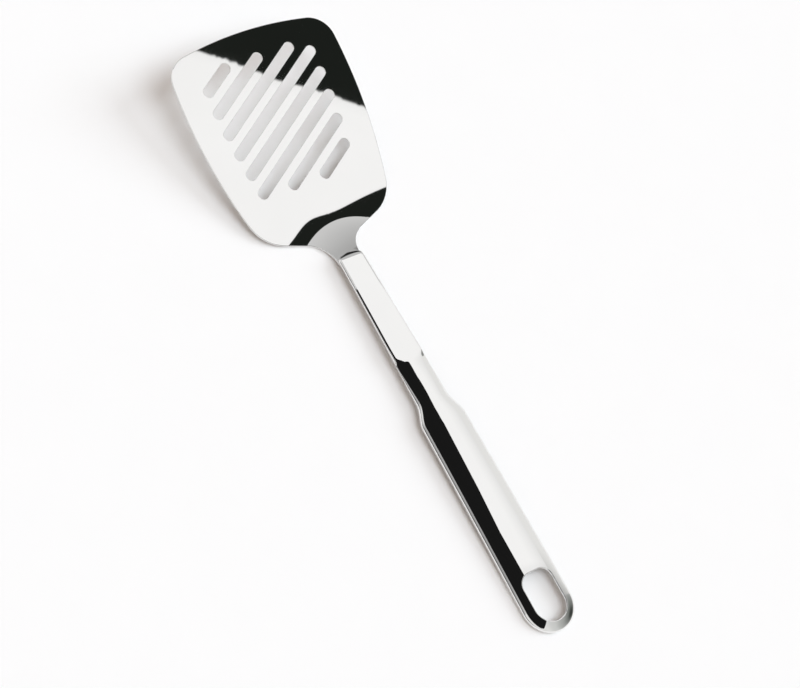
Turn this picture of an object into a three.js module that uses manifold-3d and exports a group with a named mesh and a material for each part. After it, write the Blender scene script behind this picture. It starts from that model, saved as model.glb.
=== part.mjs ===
// Slotted kitchen turner in polished stainless steel.
// A thin slotted blade rises at its heel into a flat tongue. The tongue lies under the front of a pressed
// handle, a flat shank that widens into a crowned, open-backed grip with a hanging eye, and spot welds hold
// the two sheets together. The turner lies as it does on a table, on its heel and the end of its grip.
// Millimetres and degrees. X runs forward to the blade's front edge, Y to its left, Z up.

import * as THREE from 'three';
import { mergeVertices } from 'three/addons/utils/BufferGeometryUtils.js';
import Module from 'manifold-3d';

const wasm = await Module();
wasm.setup();

// Sheets
const BLADE_SHEET = 1.2;
const HANDLE_SHEET = 2.0;

// Blade plan, with X measured from the middle of the blade
const BLADE_FRONT = 65;
const BLADE_WIDTH = 93.4;
const WIDEST_AT = 34;
const FRONT_RADIUS = 194;
const CORNER_RADIUS = 13.5;
const SIDE_RADIUS = 265;
const SHOULDER_AT = -22;
const SHOULDER_RADIUS = 21;
const NECK_AT = -58.7;
const NECK_FILLET = 14;
const NECK_WIDTH = 13.6;

// Slots, all alike in width and slant, ending at set margins from the blade's edges.
// On the right the margin grows a little towards the heel.
const SLOT_COUNT = 8;
const SLOT_WIDTH = 5.6;
const SLOT_PITCH = 9.87;
const SLOT_SLANT = 57.2;
const SLOT_PATTERN_AT = 19.9;
const SLOT_LEFT_MARGIN = 14.2;
const SLOT_RIGHT_MARGIN = 14.2;
const SLOT_RIGHT_DRAW_IN = 0.04;
const SLOT_FRONT_MARGIN = 13.4;
const SLOT_REAR_AT = -16.4;

// Heel: the blade curves up gently right across its width, then bends harder behind an arched line
// and climbs to the fold where the tongue begins
const HEEL_AT = -44;
const LEAD_REACH = 32;
const LEAD_LENGTH = 20.3;
const LEAD_SLOPE = 0.079;
const LEAD_ARCH_RADIUS = 247;
const BEND_REACH = 6.4;
const BEND_RADIUS = 57.5;
const BEND_ARCH_RADIUS = 28;
const FOLD_BEND = 0.5;

// Handle side view: where the shank starts, how steeply it climbs, and its slight downward bow
const SHANK_AT = -59;
const SHANK_HEIGHT = 7.7;
const SHANK_CLIMB = 13;
const BOW_RADIUS = 4000;

// Handle plan, with lengths measured along it from the front of the lap.
// The front end of the shank is a lip, a little arched, that reaches over the top of the heel.
const HANDLE_LENGTH = 206.3;
const SHANK_FRONT_WIDTH = 13.9;
const SHANK_REAR_WIDTH = 17.6;
const SHANK_FRONT_ARCH = 0.8;
const SHANK_FRONT_CORNER = 2;
const SHANK_LIP = 1.9;
const LIP_EASE = 6;
const FLARE_START = 80.5;
const FLARE_LENGTH = 12.5;
const GRIP_FRONT_WIDTH = 24.7;
const GRIP_REAR_WIDTH = 27.4;

// Handle section: the flat shank swells into a crown whose sides roll down to an open rim.
// Towards the shank the crown is steeper, like a roof, and ends short.
const CROWN_START = 45;
const CROWN_LENGTH = 50;
const CROWN_RISE = 2.6;
const ROOF_START = 55.5;
const ROOF_LENGTH = 5;
const RIM_DROP = 1;
const SHANK_SKIRT = 0.8;
const GRIP_SKIRT = 1.3;
const ROLL_EXPONENT = 0.55;
const SHANK_SQUARENESS = 24;
const ROOF_SQUARENESS = 1.5;
const GRIP_SQUARENESS = 2;

// Hanging eye
const EYE_LENGTH = 25.2;
const EYE_WIDTH = 17;
const EYE_FRONT_RADIUS = 5.8;
const EYE_TO_END = 4.9;

// Lap joint
const TONGUE_LENGTH = 40;
const TONGUE_WIDTH = 12;
const TONGUE_CORNER = 4;
const LAP_GAP = 0.3;
const WELD_NAMES = ['front', 'middle', 'rear'];
const WELD_DIAMETER = 5;
const WELD_DEPTH = 0.3;
const WELD_CLEARANCE = 0.02;
const WELD_FIRST_AT = 9;
const WELD_PITCH = 11;

// Facets
const ARC_STEP = 9;
const CURVE_STEP = 7;
const HEEL_STEP = 2.4;
const BLADE_COLUMNS = 16;
const HANDLE_COLUMNS = 16;
const ROUND_SIDES = 24;
const CUT_MARGIN = 1;

const { degToRad, lerp, smoothstep, euclideanModulo } = THREE.MathUtils;

// A closed solid between an upper and a lower grid of points, rows running back and columns to the left
function gridSolid(upper, lower) {
  const rows = upper.length;
  const columns = upper[0].length;
  const top = (i, j) => i * columns + j;
  const bottom = (i, j) => (rows + i) * columns + j;
  const index = [];
  const quad = (a, b, c, d) => index.push(a, b, c, a, c, d);
  const last = rows - 1;
  const left = columns - 1;
  for (let i = 0; i < last; i += 1) {
    for (let j = 0; j < left; j += 1) {
      quad(top(i, j), top(i, j + 1), top(i + 1, j + 1), top(i + 1, j));
      quad(bottom(i, j), bottom(i + 1, j), bottom(i + 1, j + 1), bottom(i, j + 1));
    }
    quad(top(i, 0), top(i + 1, 0), bottom(i + 1, 0), bottom(i, 0));
    quad(top(i + 1, left), top(i, left), bottom(i, left), bottom(i + 1, left));
  }
  for (let j = 0; j < left; j += 1) {
    quad(top(0, j + 1), top(0, j), bottom(0, j), bottom(0, j + 1));
    quad(top(last, j), top(last, j + 1), bottom(last, j + 1), bottom(last, j));
  }
  const geometry = new THREE.BufferGeometry().setFromPoints([...upper.flat(), ...lower.flat()]);
  geometry.setIndex(index);
  return geometry;
}

// Joins and cuts work on positions alone, with shared corners merged
function toSolid(geometry) {
  const bare = geometry.clone();
  bare.deleteAttribute('normal');
  bare.deleteAttribute('uv');
  const merged = mergeVertices(bare, 1e-5);
  return new wasm.Manifold(new wasm.Mesh({
    numProp: 3,
    vertProperties: new Float32Array(merged.attributes.position.array),
    triVerts: new Uint32Array(merged.index.array),
  }));
}

function toGeometry(solid) {
  const mesh = solid.getMesh();
  const geometry = new THREE.BufferGeometry();
  geometry.setAttribute('position', new THREE.BufferAttribute(new Float32Array(mesh.vertProperties), 3));
  geometry.setIndex(new THREE.BufferAttribute(new Uint32Array(mesh.triVerts), 1));
  return geometry;
}

function evenly(from, to, step) {
  const count = Math.max(1, Math.ceil(Math.abs(to - from) / step - 1e-6));
  return Array.from({ length: count + 1 }, (_, i) => lerp(from, to, i / count));
}

// Points of an arc between two directions seen from its centre
function arc(centre, radius, from, to, step = degToRad(ARC_STEP)) {
  return evenly(from, to, step).map((angle) => new THREE.Vector2(
    centre.x + radius * Math.cos(angle),
    centre.y + radius * Math.sin(angle),
  ));
}

function bearing(from, to) {
  return euclideanModulo(Math.atan2(to.y - from.y, to.x - from.x), 2 * Math.PI);
}

// Where two circles meet, on the left of the way from the first centre to the second
function circlesMeet(first, firstRadius, second, secondRadius) {
  const gap = first.distanceTo(second);
  const along = (firstRadius ** 2 - secondRadius ** 2 + gap ** 2) / (2 * gap);
  const across = Math.sqrt(firstRadius ** 2 - along ** 2);
  const way = second.clone().sub(first).divideScalar(gap);
  return new THREE.Vector2(
    first.x + way.x * along - way.y * across,
    first.y + way.y * along + way.x * across,
  );
}

// Handle line: an arc of the bow radius through the middle of the shank's sheet.
// A point is given by its length along the line, its place across it and its height off it.
const shankClimb = degToRad(SHANK_CLIMB);
const bowX = SHANK_AT - BOW_RADIUS * Math.sin(shankClimb);
const bowZ = SHANK_HEIGHT - BOW_RADIUS * Math.cos(shankClimb);

function handleClimb(along) {
  return shankClimb - along / BOW_RADIUS;
}

function handlePoint(along, across, height) {
  const climb = handleClimb(along);
  return new THREE.Vector3(
    bowX + (BOW_RADIUS + height) * Math.sin(climb),
    across,
    bowZ + (BOW_RADIUS + height) * Math.cos(climb),
  );
}

function placeOnHandle(geometry, along, height) {
  const point = handlePoint(along, 0, height);
  return geometry.rotateY(handleClimb(along)).translate(point.x, point.y, point.z);
}

// Left half of the blade's plan from the middle of its front edge: front, corner, side and shoulder arcs,
// each tangent to the next, a straight heel, the neck's fillet, and the tongue with its rounded corner
const frontCentre = new THREE.Vector2(BLADE_FRONT - FRONT_RADIUS, 0);
const sideCentre = new THREE.Vector2(WIDEST_AT, BLADE_WIDTH / 2 - SIDE_RADIUS);
const cornerCentre = circlesMeet(
  frontCentre,
  FRONT_RADIUS - CORNER_RADIUS,
  sideCentre,
  SIDE_RADIUS - CORNER_RADIUS,
);
const shoulderRise = Math.sqrt((SIDE_RADIUS - SHOULDER_RADIUS) ** 2 - (SHOULDER_AT - WIDEST_AT) ** 2);
const shoulderCentre = new THREE.Vector2(SHOULDER_AT, sideCentre.y + shoulderRise);
const neckCentre = new THREE.Vector2(NECK_AT, NECK_WIDTH / 2 + NECK_FILLET);
const frontTurn = bearing(frontCentre, cornerCentre);
const cornerTurn = bearing(sideCentre, cornerCentre);
const sideTurn = bearing(sideCentre, shoulderCentre);
const flatTurn = Math.acos((HEEL_AT + LEAD_REACH - WIDEST_AT) / SIDE_RADIUS);
const heelSpan = shoulderCentre.distanceTo(neckCentre);
const heelTurn = bearing(shoulderCentre, neckCentre)
  - Math.acos((SHOULDER_RADIUS + NECK_FILLET) / heelSpan);
const tongueEnd = handlePoint(TONGUE_LENGTH, 0, 0).x;
const tongueCentre = new THREE.Vector2(tongueEnd + TONGUE_CORNER, TONGUE_WIDTH / 2 - TONGUE_CORNER);
const tongueStart = new THREE.Vector2(NECK_AT - TONGUE_CORNER, TONGUE_WIDTH / 2);

const flatOutline = [
  ...arc(frontCentre, FRONT_RADIUS, 0, frontTurn, CURVE_STEP / FRONT_RADIUS),
  ...arc(cornerCentre, CORNER_RADIUS, frontTurn, cornerTurn).slice(1),
  ...arc(sideCentre, SIDE_RADIUS, cornerTurn, flatTurn, CURVE_STEP / SIDE_RADIUS).slice(1),
];
const formedOutline = [
  ...arc(sideCentre, SIDE_RADIUS, flatTurn, sideTurn, CURVE_STEP / SIDE_RADIUS),
  ...arc(shoulderCentre, SHOULDER_RADIUS, sideTurn, heelTurn).slice(1),
  ...arc(neckCentre, NECK_FILLET, heelTurn - Math.PI, -Math.PI / 2),
  tongueStart,
  ...arc(tongueCentre, TONGUE_CORNER, Math.PI / 2, Math.PI),
];

// Height of the middle of the blade's sheet. The lead's slope grows steadily and the bend adds to it, and the
// fold at the top of the climb is eased into the tongue, which runs parallel to the underside of the shank.
const tongueOffset = HANDLE_SHEET / 2 + LAP_GAP + BLADE_SHEET / 2;

function heelHeight(x, y) {
  const past = Math.max(HEEL_AT - x - y ** 2 / (2 * LEAD_ARCH_RADIUS), -LEAD_REACH);
  const foot = Math.exp(-LEAD_REACH / LEAD_LENGTH);
  const lead = LEAD_LENGTH * (Math.exp(past / LEAD_LENGTH) - foot) - (past + LEAD_REACH) * foot;
  const bend = Math.max(HEEL_AT + BEND_REACH - x - y ** 2 / (2 * BEND_ARCH_RADIUS), 0);
  return LEAD_SLOPE * lead + bend ** 2 / (2 * BEND_RADIUS);
}

function tongueHeight(x) {
  return bowZ + Math.sqrt((BOW_RADIUS - tongueOffset) ** 2 - (x - bowX) ** 2);
}

function sheetHeight(x, y) {
  const heel = heelHeight(x, y);
  if (x > HEEL_AT) {
    return heel;
  }
  const tongue = tongueHeight(x);
  const ease = Math.max(FOLD_BEND - Math.abs(heel - tongue), 0);
  return Math.min(heel, tongue) - ease ** 2 / (4 * FOLD_BEND);
}

function sheetPoint(x, y, side) {
  const probe = 1e-3;
  const slopeX = (sheetHeight(x + probe, y) - sheetHeight(x - probe, y)) / (2 * probe);
  const slopeY = (sheetHeight(x, y + probe) - sheetHeight(x, y - probe)) / (2 * probe);
  const normal = new THREE.Vector3(-slopeX, -slopeY, 1).normalize();
  return new THREE.Vector3(x, y, sheetHeight(x, y)).addScaledVector(normal, side * BLADE_SHEET / 2);
}

// Rows across the formed part of the blade, close together through the heel and the fold.
// The first row reaches into the flat part, so that the two join as one sheet.
function formedRows() {
  const start = formedOutline[0];
  const rows = [new THREE.Vector2(start.x + CUT_MARGIN, start.y - CUT_MARGIN), start];
  for (let i = 1; i < formedOutline.length; i += 1) {
    const from = formedOutline[i - 1];
    const to = formedOutline[i];
    const step = from.x > SHANK_AT ? HEEL_STEP : CURVE_STEP;
    for (const t of evenly(0, 1, step / from.distanceTo(to)).slice(1)) {
      rows.push(from.clone().lerp(to, t));
    }
  }
  return rows;
}

function formedGrid(side) {
  return formedRows().map((row) => Array.from({ length: BLADE_COLUMNS + 1 }, (_, j) => (
    sheetPoint(row.x, row.y * (2 * j / BLADE_COLUMNS - 1), side)
  )));
}

function flatPlate() {
  const mirrored = flatOutline.slice(1).reverse().map((p) => new THREE.Vector2(p.x, -p.y));
  const shape = new THREE.Shape([...mirrored, ...flatOutline]);
  const plate = new THREE.ExtrudeGeometry(shape, { depth: BLADE_SHEET, bevelEnabled: false });
  return plate.translate(0, 0, -BLADE_SHEET / 2);
}

// Half width of the flat part of the blade behind its front corners
function sideReach(x) {
  return sideCentre.y + Math.sqrt(SIDE_RADIUS ** 2 - (x - sideCentre.x) ** 2);
}

// How far a slot runs from a point on its centre line, along a way, before its tip reaches a margin
function slotReach(start, way) {
  const inside = (t) => {
    const x = start.x + way.x * t;
    const y = start.y + way.y * t;
    const rightMargin = SLOT_RIGHT_MARGIN + SLOT_RIGHT_DRAW_IN * Math.max(0, WIDEST_AT - x);
    const margin = y > 0 ? SLOT_LEFT_MARGIN : rightMargin;
    const lengthwise = x <= BLADE_FRONT - SLOT_FRONT_MARGIN && x >= SLOT_REAR_AT;
    return lengthwise && Math.abs(y) <= sideReach(x) - margin;
  };
  let low = 0;
  let high = BLADE_WIDTH;
  for (let i = 0; i < 40; i += 1) {
    const middle = (low + high) / 2;
    if (inside(middle)) {
      low = middle;
    } else {
      high = middle;
    }
  }
  return low;
}

// A slot's cutter: a straight run with full round ends, through the sheet
function slotCutter(number) {
  const slant = degToRad(SLOT_SLANT);
  const way = new THREE.Vector2(Math.cos(slant), -Math.sin(slant));
  const offset = (SLOT_COUNT - 1) / 2 - number;
  const start = new THREE.Vector2(SLOT_PATTERN_AT + offset * SLOT_PITCH / Math.sin(slant), 0);
  const fieldMiddle = (BLADE_FRONT - SLOT_FRONT_MARGIN + SLOT_REAR_AT) / 2;
  start.addScaledVector(way, (fieldMiddle - start.x) * way.x);
  const ahead = slotReach(start, way) - SLOT_WIDTH / 2;
  const behind = slotReach(start, way.clone().negate()) - SLOT_WIDTH / 2;
  const shape = new THREE.Shape();
  shape.absarc(ahead, 0, SLOT_WIDTH / 2, -Math.PI / 2, Math.PI / 2);
  shape.absarc(-behind, 0, SLOT_WIDTH / 2, Math.PI / 2, 3 * Math.PI / 2);
  const depth = BLADE_SHEET + 2 * CUT_MARGIN;
  const curveSegments = ROUND_SIDES / 2;
  const cutter = new THREE.ExtrudeGeometry(shape, { depth, bevelEnabled: false, curveSegments });
  return cutter.translate(0, 0, -depth / 2).rotateZ(-slant).translate(start.x, start.y, 0);
}

// Handle widths and heights along its length
const gripRadius = GRIP_REAR_WIDTH / 2;
const gripEndCentre = HANDLE_LENGTH - gripRadius;
const flareEnd = FLARE_START + FLARE_LENGTH;
const crownEnd = CROWN_START + CROWN_LENGTH;
const roofEnd = ROOF_START + ROOF_LENGTH;

function halfWidth(along) {
  const corner = SHANK_FRONT_CORNER - Math.min(along, SHANK_FRONT_CORNER);
  const cornerCut = SHANK_FRONT_CORNER - Math.sqrt(SHANK_FRONT_CORNER ** 2 - corner ** 2);
  const shank = lerp(SHANK_FRONT_WIDTH, SHANK_REAR_WIDTH, along / FLARE_START) / 2 - cornerCut;
  const grip = lerp(GRIP_FRONT_WIDTH, GRIP_REAR_WIDTH, (along - flareEnd) / (gripEndCentre - flareEnd)) / 2;
  return lerp(shank, grip, smoothstep(along, FLARE_START, flareEnd));
}

function crownShare(along) {
  return smoothstep(along, CROWN_START, crownEnd);
}

function rimHeight(along) {
  return -HANDLE_SHEET / 2 - RIM_DROP * crownShare(along);
}

function ridgeHeight(along) {
  return HANDLE_SHEET / 2 + CROWN_RISE * crownShare(along);
}

// Height of the upright strip of wall above the rim
function skirtHeight(along) {
  return lerp(SHANK_SKIRT, GRIP_SKIRT, crownShare(along));
}

// How far the section has fallen from ridge to rim, at a share of the way out to its side
function sectionFall(out, along) {
  const crowned = smoothstep(along, roofEnd, roofEnd + 2 * ROOF_LENGTH);
  const crown = lerp(ROOF_SQUARENESS, GRIP_SQUARENESS, crowned);
  const roofed = smoothstep(along, ROOF_START, roofEnd);
  const squareness = SHANK_SQUARENESS * (crown / SHANK_SQUARENESS) ** roofed;
  return 1 - (1 - Math.min(out, 1) ** squareness) ** ROLL_EXPONENT;
}

// Upper and lower grids of the handle, or of the hollow under its sheet when set in by the sheet.
// Past the centre of the round end the rows close in as the end does.
function handleGrids(inset, alongStart) {
  const endRadius = gripRadius - inset;
  const nearPole = degToRad(88);
  const cornerSteps = evenly(0, Math.PI / 2, degToRad(3 * ARC_STEP));
  const corner = cornerSteps.map((a) => SHANK_FRONT_CORNER * (1 - Math.cos(a)));
  const lengths = [
    ...corner.filter((length) => length >= alongStart),
    ...evenly(Math.max(alongStart, LIP_EASE), Math.max(alongStart, CROWN_START), CURVE_STEP),
    ...evenly(Math.max(alongStart, CROWN_START), crownEnd, CURVE_STEP / 4),
    ...evenly(crownEnd, gripEndCentre, CURVE_STEP),
    ...evenly(0, nearPole, degToRad(ARC_STEP)).map((a) => gripEndCentre + endRadius * Math.sin(a)),
  ].filter((length, i, all) => i === 0 || length > all[i - 1] + 1e-6);
  const grids = { upper: [], lower: [] };
  for (const along of lengths) {
    const past = Math.max(0, along - gripEndCentre);
    const reach = past > 0 ? Math.sqrt(endRadius ** 2 - past ** 2) : halfWidth(along) - inset;
    const ridge = ridgeHeight(along) - inset;
    const rim = rimHeight(along);
    const fall = ridge - rim - (inset > 0 ? 0 : skirtHeight(along));
    const frontEase = 1 - smoothstep(along, 0, LIP_EASE);
    const upper = [];
    const lower = [];
    for (let j = 0; j <= HANDLE_COLUMNS; j += 1) {
      const share = Math.sin(Math.PI * (j / HANDLE_COLUMNS - 0.5));
      const out = past > 0 ? Math.hypot(past, share * reach) / endRadius : Math.abs(share);
      const lip = SHANK_LIP + SHANK_FRONT_ARCH * (1 - share ** 2);
      const arched = along - lip * frontEase;
      upper.push(handlePoint(arched, share * reach, ridge - fall * sectionFall(out, along)));
      lower.push(handlePoint(arched, share * reach, inset > 0 ? rim - CUT_MARGIN : rim));
    }
    grids.upper.push(upper);
    grids.lower.push(lower);
  }
  return grids;
}

function handleSolid(inset, alongStart) {
  const grids = handleGrids(inset, alongStart);
  return toSolid(gridSolid(grids.upper, grids.lower));
}

// The eye's cutter: rounded corners towards the blade, a full round towards the end of the grip
function eyeCutter() {
  const half = EYE_WIDTH / 2;
  const front = EYE_LENGTH / 2;
  const corner = EYE_FRONT_RADIUS;
  const shape = new THREE.Shape();
  shape.absarc(front - corner, corner - half, corner, -Math.PI / 2, 0);
  shape.absarc(front - corner, half - corner, corner, 0, Math.PI / 2);
  shape.absarc(half - front, 0, half, Math.PI / 2, 3 * Math.PI / 2);
  const depth = 2 * (CROWN_RISE + RIM_DROP + HANDLE_SHEET + CUT_MARGIN);
  const curveSegments = ROUND_SIDES / 4;
  const cutter = new THREE.ExtrudeGeometry(shape, { depth, bevelEnabled: false, curveSegments });
  const along = HANDLE_LENGTH - EYE_TO_END - EYE_LENGTH / 2;
  return placeOnHandle(cutter.translate(0, 0, -depth / 2), along, 0);
}

// A weld nugget fills the lap gap and reaches a little into both sheets; its seats are cut with clearance
function weldDisc(number, clearance) {
  const height = LAP_GAP + 2 * WELD_DEPTH + 2 * clearance;
  const radius = WELD_DIAMETER / 2 + clearance;
  const disc = new THREE.CylinderGeometry(radius, radius, height, ROUND_SIDES).rotateX(Math.PI / 2);
  return placeOnHandle(disc, WELD_FIRST_AT + number * WELD_PITCH, -HANDLE_SHEET / 2 - LAP_GAP / 2);
}

const welds = WELD_NAMES.map((_, number) => weldDisc(number, 0));
const seats = WELD_NAMES.map((_, number) => toSolid(weldDisc(number, WELD_CLEARANCE)));

let blade = toSolid(flatPlate()).add(toSolid(gridSolid(formedGrid(1), formedGrid(-1))));
for (let number = 0; number < SLOT_COUNT; number += 1) {
  blade = blade.subtract(toSolid(slotCutter(number)));
}

const hollowStart = CROWN_START + CROWN_LENGTH / 5;
let handle = handleSolid(0, 0).subtract(handleSolid(HANDLE_SHEET, hollowStart));
handle = handle.subtract(toSolid(eyeCutter()));

for (const seat of seats) {
  blade = blade.subtract(seat);
  handle = handle.subtract(seat);
}

// The turner tips until the heel and the end of the grip touch the table together
const bladeGeometry = toGeometry(blade);
const handleGeometry = toGeometry(handle);

function lowestPoint(geometry, tilt) {
  const positions = geometry.attributes.position;
  const point = new THREE.Vector3();
  const lowest = new THREE.Vector3();
  let least = Infinity;
  for (let i = 0; i < positions.count; i += 1) {
    point.fromBufferAttribute(positions, i);
    const level = point.x * Math.sin(tilt) + point.z * Math.cos(tilt);
    if (level < least) {
      least = level;
      lowest.copy(point);
    }
  }
  return lowest;
}

let restTilt = shankClimb;
for (let turn = 0; turn < 8; turn += 1) {
  const heel = lowestPoint(bladeGeometry, restTilt);
  const tail = lowestPoint(handleGeometry, restTilt);
  restTilt = Math.atan2(tail.z - heel.z, heel.x - tail.x);
}

const turner = new THREE.Group();
turner.name = 'turner';

function addPiece(name, geometry, color, roughness) {
  const material = new THREE.MeshStandardMaterial({ color, roughness, metalness: 1 });
  const mesh = new THREE.Mesh(geometry.rotateY(-restTilt), material);
  mesh.name = name;
  turner.add(mesh);
}

addPiece('blade', bladeGeometry, 0xd8d9da, 0.08);
addPiece('handle', handleGeometry, 0xd4d5d7, 0.1);
WELD_NAMES.forEach((name, number) => addPiece(`spot_weld_${name}`, welds[number], 0x9b9a98, 0.5));

// The table is Z = 0, and the origin is under the middle of the whole turner
const bounds = new THREE.Box3().setFromObject(turner, true);
const middle = bounds.getCenter(new THREE.Vector3());
for (const piece of turner.children) {
  piece.geometry.translate(-middle.x, -middle.y, -bounds.min.z);
  piece.geometry.computeVertexNormals();
}

export default turner;
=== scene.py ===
"""Looks of the slotted turner: polished sheet steel on a plain white floor, seen as in the photo."""
import math

import bpy
import numpy as np
from mathutils import Matrix, Vector
from mathutils.geometry import delaunay_2d_cdt


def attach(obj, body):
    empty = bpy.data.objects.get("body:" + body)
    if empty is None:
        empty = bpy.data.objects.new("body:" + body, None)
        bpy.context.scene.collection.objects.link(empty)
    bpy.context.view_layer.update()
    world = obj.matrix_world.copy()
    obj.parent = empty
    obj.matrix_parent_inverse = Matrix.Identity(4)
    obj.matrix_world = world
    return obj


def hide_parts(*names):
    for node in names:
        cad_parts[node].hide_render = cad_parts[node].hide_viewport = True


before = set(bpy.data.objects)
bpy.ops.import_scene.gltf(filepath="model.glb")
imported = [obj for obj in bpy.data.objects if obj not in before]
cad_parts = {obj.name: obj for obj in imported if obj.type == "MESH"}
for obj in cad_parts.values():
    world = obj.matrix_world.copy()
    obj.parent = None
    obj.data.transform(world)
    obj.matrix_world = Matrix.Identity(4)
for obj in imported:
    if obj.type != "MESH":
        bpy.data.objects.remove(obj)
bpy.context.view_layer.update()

# Sizes of the CAD part, in millimetres and degrees
BLADE_SHEET = 1.2
HANDLE_SHEET = 2.0
BLADE_FRONT = 65
BLADE_WIDTH = 93.4
WIDEST_AT = 34
FRONT_RADIUS = 194
CORNER_RADIUS = 13.5
SIDE_RADIUS = 265
SHOULDER_AT = -22
SHOULDER_RADIUS = 21
NECK_AT = -58.7
NECK_FILLET = 14
NECK_WIDTH = 13.6
SLOT_COUNT = 8
SLOT_WIDTH = 5.6
SLOT_PITCH = 9.87
SLOT_SLANT = 57.2
SLOT_PATTERN_AT = 19.9
SLOT_LEFT_MARGIN = 14.2
SLOT_RIGHT_MARGIN = 14.2
SLOT_RIGHT_DRAW_IN = 0.04
SLOT_FRONT_MARGIN = 13.4
SLOT_REAR_AT = -16.4
HEEL_AT = -44
LEAD_REACH = 32
LEAD_LENGTH = 20.3
LEAD_SLOPE = 0.079
LEAD_ARCH_RADIUS = 247
BEND_REACH = 6.4
BEND_RADIUS = 57.5
BEND_ARCH_RADIUS = 28
FOLD_BEND = 0.5
SHANK_AT = -59
SHANK_HEIGHT = 7.7
SHANK_CLIMB = 13
BOW_RADIUS = 4000
HANDLE_LENGTH = 206.3
SHANK_FRONT_WIDTH = 13.9
SHANK_REAR_WIDTH = 17.6
SHANK_FRONT_ARCH = 0.8
SHANK_FRONT_CORNER = 2
SHANK_LIP = 1.9
LIP_EASE = 6
FLARE_START = 80.5
FLARE_LENGTH = 12.5
GRIP_FRONT_WIDTH = 24.7
GRIP_REAR_WIDTH = 27.4
CROWN_START = 45
CROWN_LENGTH = 50
ROOF_START = 55.5
ROOF_LENGTH = 5
CROWN_RISE = 2.6
RIM_DROP = 1
SHANK_SKIRT = 0.8
GRIP_SKIRT = 1.3
ROLL_EXPONENT = 0.55
SHANK_SQUARENESS = 24
ROOF_SQUARENESS = 1.5
GRIP_SQUARENESS = 2
EYE_LENGTH = 25.2
EYE_WIDTH = 17
EYE_FRONT_RADIUS = 5.8
EYE_TO_END = 4.9
TONGUE_LENGTH = 40
TONGUE_WIDTH = 12
TONGUE_CORNER = 4
LAP_GAP = 0.3
REST_TILT = 0.2126966795
REST_MIDDLE = -100.9333801
REST_LOWEST = -9.3174915

# Rounding of the polished edges
BLADE_EDGE = 0.3
SLOT_EDGE = 0.15
SHANK_EDGE = 1.2
SHANK_BEVEL = 31
RIM_EDGE = 0.7
EYE_EDGE = 0.5


def to_rest(points):
    """Blade frame in millimetres to the shared frame in metres."""
    c, s = math.cos(REST_TILT), math.sin(REST_TILT)
    x = points[..., 0] * c - points[..., 2] * s - REST_MIDDLE
    z = points[..., 0] * s + points[..., 2] * c - REST_LOWEST
    return np.stack([x, points[..., 1], z], -1) / 1000


def turn_to_rest(vectors):
    c, s = math.cos(REST_TILT), math.sin(REST_TILT)
    x = vectors[..., 0] * c - vectors[..., 2] * s
    z = vectors[..., 0] * s + vectors[..., 2] * c
    return np.stack([x, vectors[..., 1], z], -1)


def unit(vectors):
    return vectors / np.linalg.norm(vectors, axis=-1, keepdims=True)


def smoothstep(value, low, high):
    t = np.clip((value - low) / (high - low), 0, 1)
    return t * t * (3 - 2 * t)


# Handle line: an arc through the middle of the shank's sheet
CLIMB = math.radians(SHANK_CLIMB)
BOW_X = SHANK_AT - BOW_RADIUS * math.sin(CLIMB)
BOW_Z = SHANK_HEIGHT - BOW_RADIUS * math.cos(CLIMB)


def handle_point(along, across, height):
    climb = CLIMB - along / BOW_RADIUS
    x = BOW_X + (BOW_RADIUS + height) * np.sin(climb)
    z = BOW_Z + (BOW_RADIUS + height) * np.cos(climb)
    return np.stack(np.broadcast_arrays(x, across, z), -1)


class Builder:
    """Collects points with their exact normals, and faces, and makes a smooth mesh of them."""

    def __init__(self):
        self.points = []
        self.normals = []
        self.faces = []
        self.count = 0

    def add(self, points, normals):
        start = self.count
        self.points.append(points)
        self.normals.append(normals)
        self.count += len(points)
        return np.arange(start, self.count)

    def triangles(self, ids, triangles, flip):
        for a, b, c in triangles:
            self.faces.append((ids[c], ids[b], ids[a]) if flip else (ids[a], ids[b], ids[c]))

    def band(self, upper, lower):
        """Walls between two closed rings, with the metal on the left of the way round."""
        for i in range(len(upper)):
            j = (i + 1) % len(upper)
            self.faces.append((upper[i], lower[i], lower[j], upper[j]))

    def make(self, name):
        mesh = bpy.data.meshes.new(name)
        points = to_rest(np.concatenate(self.points))
        normals = unit(turn_to_rest(np.concatenate(self.normals)))
        mesh.from_pydata(points.tolist(), [], [[int(i) for i in f] for f in self.faces])
        mesh.polygons.foreach_set("use_smooth", [True] * len(mesh.polygons))
        mesh.normals_split_custom_set_from_vertices(normals.tolist())
        mesh.update()
        piece = bpy.data.objects.new(name, mesh)
        bpy.context.scene.collection.objects.link(piece)
        return piece


def fill(loops, inner):
    """Triangles inside the first closed loop and outside the others, which are convex.
    They run through the inner points, and index the loops' points in turn and then the inner ones."""
    points = np.concatenate([*loops, inner])
    edges = []
    start = 0
    for loop in loops:
        n = len(loop)
        edges += [(start + i, start + (i + 1) % n) for i in range(n)]
        start += n
    owners = [np.full(len(loop), n) for n, loop in enumerate(loops)]
    owner = np.concatenate([*owners, np.zeros(len(inner), int)])
    made = delaunay_2d_cdt([Vector(p) for p in points.tolist()], edges, [], 1, 1e-6)
    origin = [ids[0] for ids in made[3]]
    triangles = []
    for face in made[2]:
        a, b, c = (origin[i] for i in face)
        if owner[a] > 0 and owner[a] == owner[b] == owner[c]:
            continue
        u, v = points[b] - points[a], points[c] - points[a]
        triangles.append((a, b, c) if u[0] * v[1] > u[1] * v[0] else (a, c, b))
    return triangles


def clear_of(points, loops, gap):
    """The points that keep a gap from all the loops' points."""
    keep = np.ones(len(points), bool)
    for loop in loops:
        closest = np.full(len(points), np.inf)
        for p in loop:
            closest = np.minimum(closest, np.hypot(points[:, 0] - p[0], points[:, 1] - p[1]))
        keep &= closest > gap
    return points[keep]


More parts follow.
